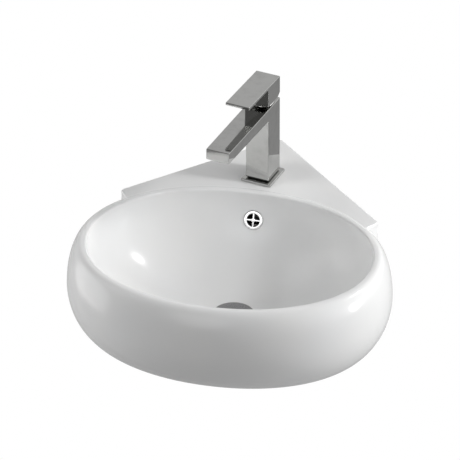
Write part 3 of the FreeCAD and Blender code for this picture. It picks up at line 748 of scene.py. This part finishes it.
# Seals: black rubber, moulded, with the faint grain of the mould. The waste has one under its flange, one
# below the china and one that the plug closes on, and the tap's seals and its rubber washer match.
black_rubber = moulded(
    "black_rubber", dark=(0.012, 0.012, 0.013), light=(0.03, 0.03, 0.031), fineness=0.8, strength=0.35)
dress(black_rubber, "waste_top_seal", "waste_bottom_seal", "waste_plug_seal")
dress(black_rubber, "tap_base_seal", "tap_rubber_washer", "aerator_seal", "cartridge_seals")


# Slip washer and latch: white moulded plastic. The washer lets the nut turn without dragging the rubber, and
# the latch's three arms hold it across the tail. The cartridge's rotor is of the same plastic.
white_plastic = moulded(
    "white_plastic", dark=(0.70, 0.70, 0.68), light=(0.80, 0.80, 0.785), fineness=0.5, strength=0.15)
dress(white_plastic, "waste_slip_washer", "waste_latch_housing", "cartridge_rotor")


# Backnut: brass, turned and left bare, which draws the waste down on its seals. The tap's long clamp nut, the
# cartridge's nut and its stem are bare brass as well, turned about the tap's own axis.
brass_dark = (0.46, 0.30, 0.11)
brass_light = (0.62, 0.43, 0.18)
waste_brass = machined("waste_brass", brass_dark, brass_light, waste_middle, pitch=0.7, strength=0.3)
tap_brass = machined("tap_brass", brass_dark, brass_light, tap_middle, pitch=0.9, strength=0.3)
dress(waste_brass, "waste_backnut")
dress(tap_brass, "tap_clamp_nut", "cartridge_stem", "cartridge_nut")


# Plug stem and spring: zinc-plated steel, the stem drawn and the spring coiled from wire. The tap's stud and
# clamp washer, the cartridge's pin and the lever's grub screw match.
zinc_dark = (0.42, 0.42, 0.44)
zinc_light = (0.56, 0.56, 0.58)
waste_zinc = machined("waste_zinc", zinc_dark, zinc_light, waste_middle, pitch=0.5, strength=0.2)
tap_zinc = machined("tap_zinc", zinc_dark, zinc_light, tap_middle, pitch=0.5, strength=0.2)
dress(waste_zinc, "waste_plug_stem", "waste_spring")
dress(tap_zinc, "tap_stud", "tap_clamp_washer", "cartridge_pin", "lever_grub_screw")


# Base plate: a thin chromed brass plate between the tap and the deck, with a rounded top edge. It covers the
# hole and the seal, and is held down by the tap.
tap_turn = math.radians(-11.0)
tap_place = Matrix.Translation((0, tap_middle, 0)) @ Matrix.Rotation(tap_turn, 4, "Z")
column_half = 17.5 * MM
column_deep = 19.5 * MM
plate_out = 5.5 * MM
plate_corner = 1.5 * MM
plate_low = 0.5 * MM
plate_high = 4.5 * MM
tap_edge = 0.8 * MM


def rectangle(half_x, half_y, radius, steps=5):
    outline = []
    for turn, sx, sy in ((0, 1, 1), (90, -1, 1), (180, -1, -1), (270, 1, -1)):
        outline += round_over((sx * (half_x - radius), sy * (half_y - radius)), radius, turn, turn + 90, steps)
    return outline


plate_outline = rectangle(column_half + plate_out, column_deep + plate_out, plate_corner)
base_plate = upright("base_plate", plate_outline, plate_low, plate_high)
bevelled(base_plate, tap_edge, limit=40)
flat_faces(base_plate)
base_plate.data.transform(tap_place)
coat(base_plate, chrome_plate)
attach(base_plate, "basin")
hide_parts("tap_base_plate")


# Tap body: one brass casting, ground flat, polished and chromed. A rectangular column on a narrower foot, and
# a flat spout that thins towards its end.
column_low = 6.1 * MM
body_top = 124.0 * MM
spout_end = -153.0 * MM
spout_rise = 2.5 * MM
spout_root = 19.0 * MM
spout_tip = 16.8 * MM
foot_in = 2.0 * MM
foot_corner = 1.0 * MM
foot_sunk = 1.0 * MM


def side_form(name, outline, half_width):
    return skin_over(name, [[(x, y, z) for y, z in outline] for x in (-half_width, half_width)], caps=True)


spout_top = body_top + spout_rise
body_outline = [
    (column_deep, column_low), (column_deep, body_top), (-column_deep, body_top), (spout_end, spout_top),
    (spout_end, spout_top - spout_tip), (-column_deep, body_top - spout_root), (-column_deep, column_low),
]
tap_body = side_form("tap_casting", body_outline, column_half)
bevelled(tap_body, tap_edge)
flat_faces(tap_body)
foot_outline = rectangle(column_half - foot_in, column_deep - foot_in, foot_corner)
tap_foot = upright("tap_foot", foot_outline, plate_high, column_low + foot_sunk)
flat_faces(tap_foot)
for piece in (tap_body, tap_foot):
    piece.data.transform(tap_place)
    coat(piece, chrome_plate)
    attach(piece, "basin")
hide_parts("tap_body")


# Aerator: a chromed ring screwed up into the spout, round a grey plastic grid of small holes. The cartridge's
# housing is of the same grey plastic.
aerator_reach = 138.0 * MM
spout_share = (aerator_reach - column_deep) / (-spout_end - column_deep)
spout_under = body_top - spout_root + (spout_root + spout_rise - spout_tip) * spout_share
aerator_low = spout_under - 3.5 * MM
aerator_top = spout_under + 1.0 * MM
aerator_radius = 10.0 * MM
aerator_bore = 8.0 * MM
aerator_lip = 1.0 * MM
aerator_edge = 0.8 * MM
aerator_place = tap_place @ Matrix.Translation((0, -aerator_reach, 0))
aerator_profile = [
    (aerator_bore, aerator_top), (aerator_bore, aerator_low + aerator_lip),
    (aerator_bore - aerator_lip, aerator_low + aerator_edge), (aerator_bore - aerator_edge, aerator_low),
]
aerator_profile += round_over((aerator_radius - aerator_edge, aerator_low + aerator_edge), aerator_edge, -90, 0)
aerator_profile += [(aerator_radius, aerator_top)]
aerator_ring = turned("aerator_ring", aerator_profile, aerator_place, sides=72)
coat(aerator_ring, chrome_plate)
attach(aerator_ring, "basin")
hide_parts("aerator_housing")
grey_plastic = moulded(
    "grey_plastic", dark=(0.14, 0.145, 0.15), light=(0.19, 0.195, 0.2), fineness=0.5, strength=0.15)
dress(grey_plastic, "aerator_insert", "cartridge_housing")


# Cartridge: a plastic housing with two lapped ceramic discs, sealed into the body under its nut. The chromed
# cover over it is a low dome that shows in the gap below the lever.
disc_ceramic = moulded(
    "disc_ceramic", dark=(0.72, 0.70, 0.64), light=(0.80, 0.78, 0.72), fineness=1.5, strength=0.05)
dress(disc_ceramic, "cartridge_fixed_disc", "cartridge_moving_disc")
dome_outer = 16.0 * MM
dome_hole = 12.0 * MM
dome_rise = 4.5 * MM
dome_ball = 20.0 * MM
dome_neck = 12.98 * MM
dome_low = body_top - 4.0 * MM
dome_steps = 8
dome_centre = body_top + dome_rise - math.sqrt(dome_ball ** 2 - dome_hole ** 2)
dome_profile = [(dome_hole, dome_low), (dome_neck, dome_low), (dome_neck, body_top), (dome_outer, body_top)]
for share in shares(dome_steps):
    radius = dome_outer + (dome_hole - dome_outer) * share
    dome_profile.append((radius, dome_centre + math.sqrt(dome_ball ** 2 - radius ** 2)))
cartridge_cover = turned("cartridge_cover", dome_profile, tap_place)
coat(cartridge_cover, chrome_plate)
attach(cartridge_cover, "basin")
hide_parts("cartridge_dome")


# Lever: a flat chromed plate on a square block, cast in one. It sits on the cartridge's stem, held by a grub
# screw under a small cap at the back, and the block's lower rear edge is cut away so that it can tip.
lever_half = 18.25 * MM
lever_rear = 18.0 * MM
block_front = -21.0 * MM
block_low = 129.5 * MM
block_top = 160.0 * MM
heel_high = block_low + 4.5 * MM
heel_back = lever_rear - 6.5 * MM
lever_end = -86.5 * MM
lever_rise = 5.0 * MM
lever_thick = 4.2 * MM
cup_radius = 11.0 * MM
cup_deep = 8.0 * MM
cap_radius = 3.25 * MM
cap_height = 142.0 * MM
cap_deep = 2.5 * MM


def lever_top(y):
    return block_top + lever_rise * (lever_rear - y) / (lever_rear - lever_end)


lever_outline = [
    (lever_rear, heel_high), (lever_rear, lever_top(lever_rear)), (lever_end, lever_top(lever_end)),
    (lever_end, lever_top(lever_end) - lever_thick), (block_front, lever_top(block_front) - lever_thick),
    (block_front, block_low), (heel_back, block_low),
]
lever = side_form("lever", lever_outline, lever_half)
bevelled(lever, tap_edge)
cup = rod("cup", cup_radius, Vector((0, 0, block_low - tool_over)), Vector((0, 0, block_low + cup_deep)))
cap_inner = Vector((0, lever_rear - cap_deep, cap_height))
cap_outer = Vector((0, lever_rear + tool_over, cap_height))
cap_seat = rod("cap_seat", cap_radius, cap_inner, cap_outer, sides=40)
cut_out(lever, cup, cap_seat)
smooth(lever, sharpest=50)
flat_faces(lever)
lever.data.transform(tap_place)
coat(lever, chrome_plate)
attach(lever, "lever")
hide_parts("lever_handle")
dress(chrome_plate, "lever_screw_cap")


# Studio: a pale floor far below the basin and a soft room, both plain white to the camera. The room glows from
# the right and from behind, and the floor's light fades with distance. Both are a faint grey in a mirror.
floor_half = 9.0
floor_level = -0.9
floor_slab = 0.02
floor_glow = 0.41
floor_fades = (1.3, 5.0)
room_glow_right = 1.75
room_glow_behind = 0.76
room_glow_least = 0.035
mirrored_glow = 0.18
floor_outline = both_sides([(floor_half, -floor_half), (floor_half, floor_half)])
floor = upright("floor", floor_outline, floor_level - floor_slab, floor_level)


def white_to_camera(tree, path, soft, white, output):
    mix = tree.nodes.new("ShaderNodeMixShader")
    tree.links.new(path.outputs["Is Camera Ray"], mix.inputs[0])
    tree.links.new(soft.outputs[0], mix.inputs[1])
    tree.links.new(white.outputs[0], mix.inputs[2])
    tree.links.new(mix.outputs[0], tree.nodes[output].inputs[0])


def lifted_in_mirrors(tree, path, glow):
    return sum_in(tree, "MAXIMUM", glow, sum_in(tree, "MULTIPLY", path.outputs["Is Glossy Ray"], mirrored_glow))


floor_paint = bpy.data.materials.new("floor_paint")
floor_paint.use_nodes = True
tree = floor_paint.node_tree
path = tree.nodes.new("ShaderNodeLightPath")
spot = tree.nodes.new("ShaderNodeNewGeometry")
reach = tree.nodes.new("ShaderNodeVectorMath")
reach.operation = "LENGTH"
tree.links.new(spot.outputs["Position"], reach.inputs[0])
fading = spread_in(tree, reach.outputs["Value"], floor_fades, (floor_glow, 0))
pale = tree.nodes.new("ShaderNodeEmission")
tree.links.new(lifted_in_mirrors(tree, path, fading), pale.inputs["Strength"])
white_to_camera(tree, path, pale, tree.nodes.new("ShaderNodeEmission"), "Material Output")
coat(floor, floor_paint)

scene.view_settings.view_transform = "Standard"
room = bpy.data.worlds.new("room")
scene.world = room
room.use_nodes = True
tree = room.node_tree
path = tree.nodes.new("ShaderNodeLightPath")
place = tree.nodes.new("ShaderNodeTexCoord")
apart = tree.nodes.new("ShaderNodeSeparateXYZ")
tree.links.new(place.outputs["Generated"], apart.inputs["Vector"])


def glow_towards(axis, level):
    facing = sum_in(tree, "MAXIMUM", apart.outputs[axis], 0)
    return sum_in(tree, "MULTIPLY", sum_in(tree, "MULTIPLY", facing, facing), level)


glow = sum_in(tree, "ADD", glow_towards("X", room_glow_right), glow_towards("Y", room_glow_behind))
glow = sum_in(tree, "ADD", glow, room_glow_least)
soft = tree.nodes["Background"]
tree.links.new(lifted_in_mirrors(tree, path, glow), soft.inputs["Color"])
white_to_camera(tree, path, soft, tree.nodes.new("ShaderNodeBackground"), "World Output")


# Lamps: round soft ones, all at one distance from the middle of the basin. Those that aren't glossy light the
# china and throw the tap's shadow, and those that aren't diffuse are only seen as bright spots in the gloss.
lamp_distance = 2.2
lamp_aim = Vector((0, -0.28, 0))


def lamp_at(name, azimuth, elevation, size, power):
    data = bpy.data.lights.new(name, "AREA")
    data.shape = "DISK"
    data.size = size
    data.energy = power
    lamp = bpy.data.objects.new(name, data)
    scene.collection.objects.link(lamp)
    turn, lift = math.radians(azimuth), math.radians(elevation)
    away = Vector((math.cos(lift) * math.cos(turn), math.cos(lift) * math.sin(turn), math.sin(lift)))
    lamp.location = lamp_aim + away * lamp_distance
    lamp.rotation_euler = away.to_track_quat("Z", "Y").to_euler()
    return lamp


lamp_at("right_lamp", azimuth=5, elevation=35, size=0.3, power=17).visible_glossy = False
lamp_at("right_screen", azimuth=0, elevation=34, size=2.0, power=6).visible_glossy = False
lamp_at("left_screen", azimuth=203, elevation=30, size=1.2, power=18).visible_glossy = False
lamp_at("low_lamp", azimuth=-25, elevation=-12, size=0.8, power=2.4).visible_glossy = False
lamp_at("left_lamp", azimuth=182, elevation=-6, size=1.9, power=15)
lamp_at("front_screen", azimuth=-102, elevation=12, size=1.2, power=4.5).visible_diffuse = False
lamp_at("sparkle", azimuth=18, elevation=34, size=0.2, power=7).visible_diffuse = False
lamp_at("shoulder_sparkle", azimuth=0, elevation=1, size=0.5, power=5).visible_diffuse = False


# Camera: the photograph's, far back with a long lens, high and a little to the right of the basin. Its lens
# follows from the scale of the photograph, which is 460 pixels wide.
azimuth, elevation = math.radians(13.60), math.radians(32.13)
distance = 15.0
frame_pixels = 460
pixels_per_m = 715.4
aim = Vector((-5.57 * MM, -280 * MM, 15.31 * MM))
level = Vector((math.sin(azimuth), -math.cos(azimuth), 0))
back = level * math.cos(elevation) + Vector((0, 0, math.sin(elevation)))
lens = bpy.data.cameras.new("camera")
lens.sensor_width = 36
lens.lens = lens.sensor_width * pixels_per_m * distance / frame_pixels
lens.clip_end = 100
camera = bpy.data.objects.new("camera", lens)
scene.collection.objects.link(camera)
camera.location = aim + back * distance
camera.rotation_euler = (-back).to_track_quat("-Z", "Y").to_euler()
scene.camera = camera
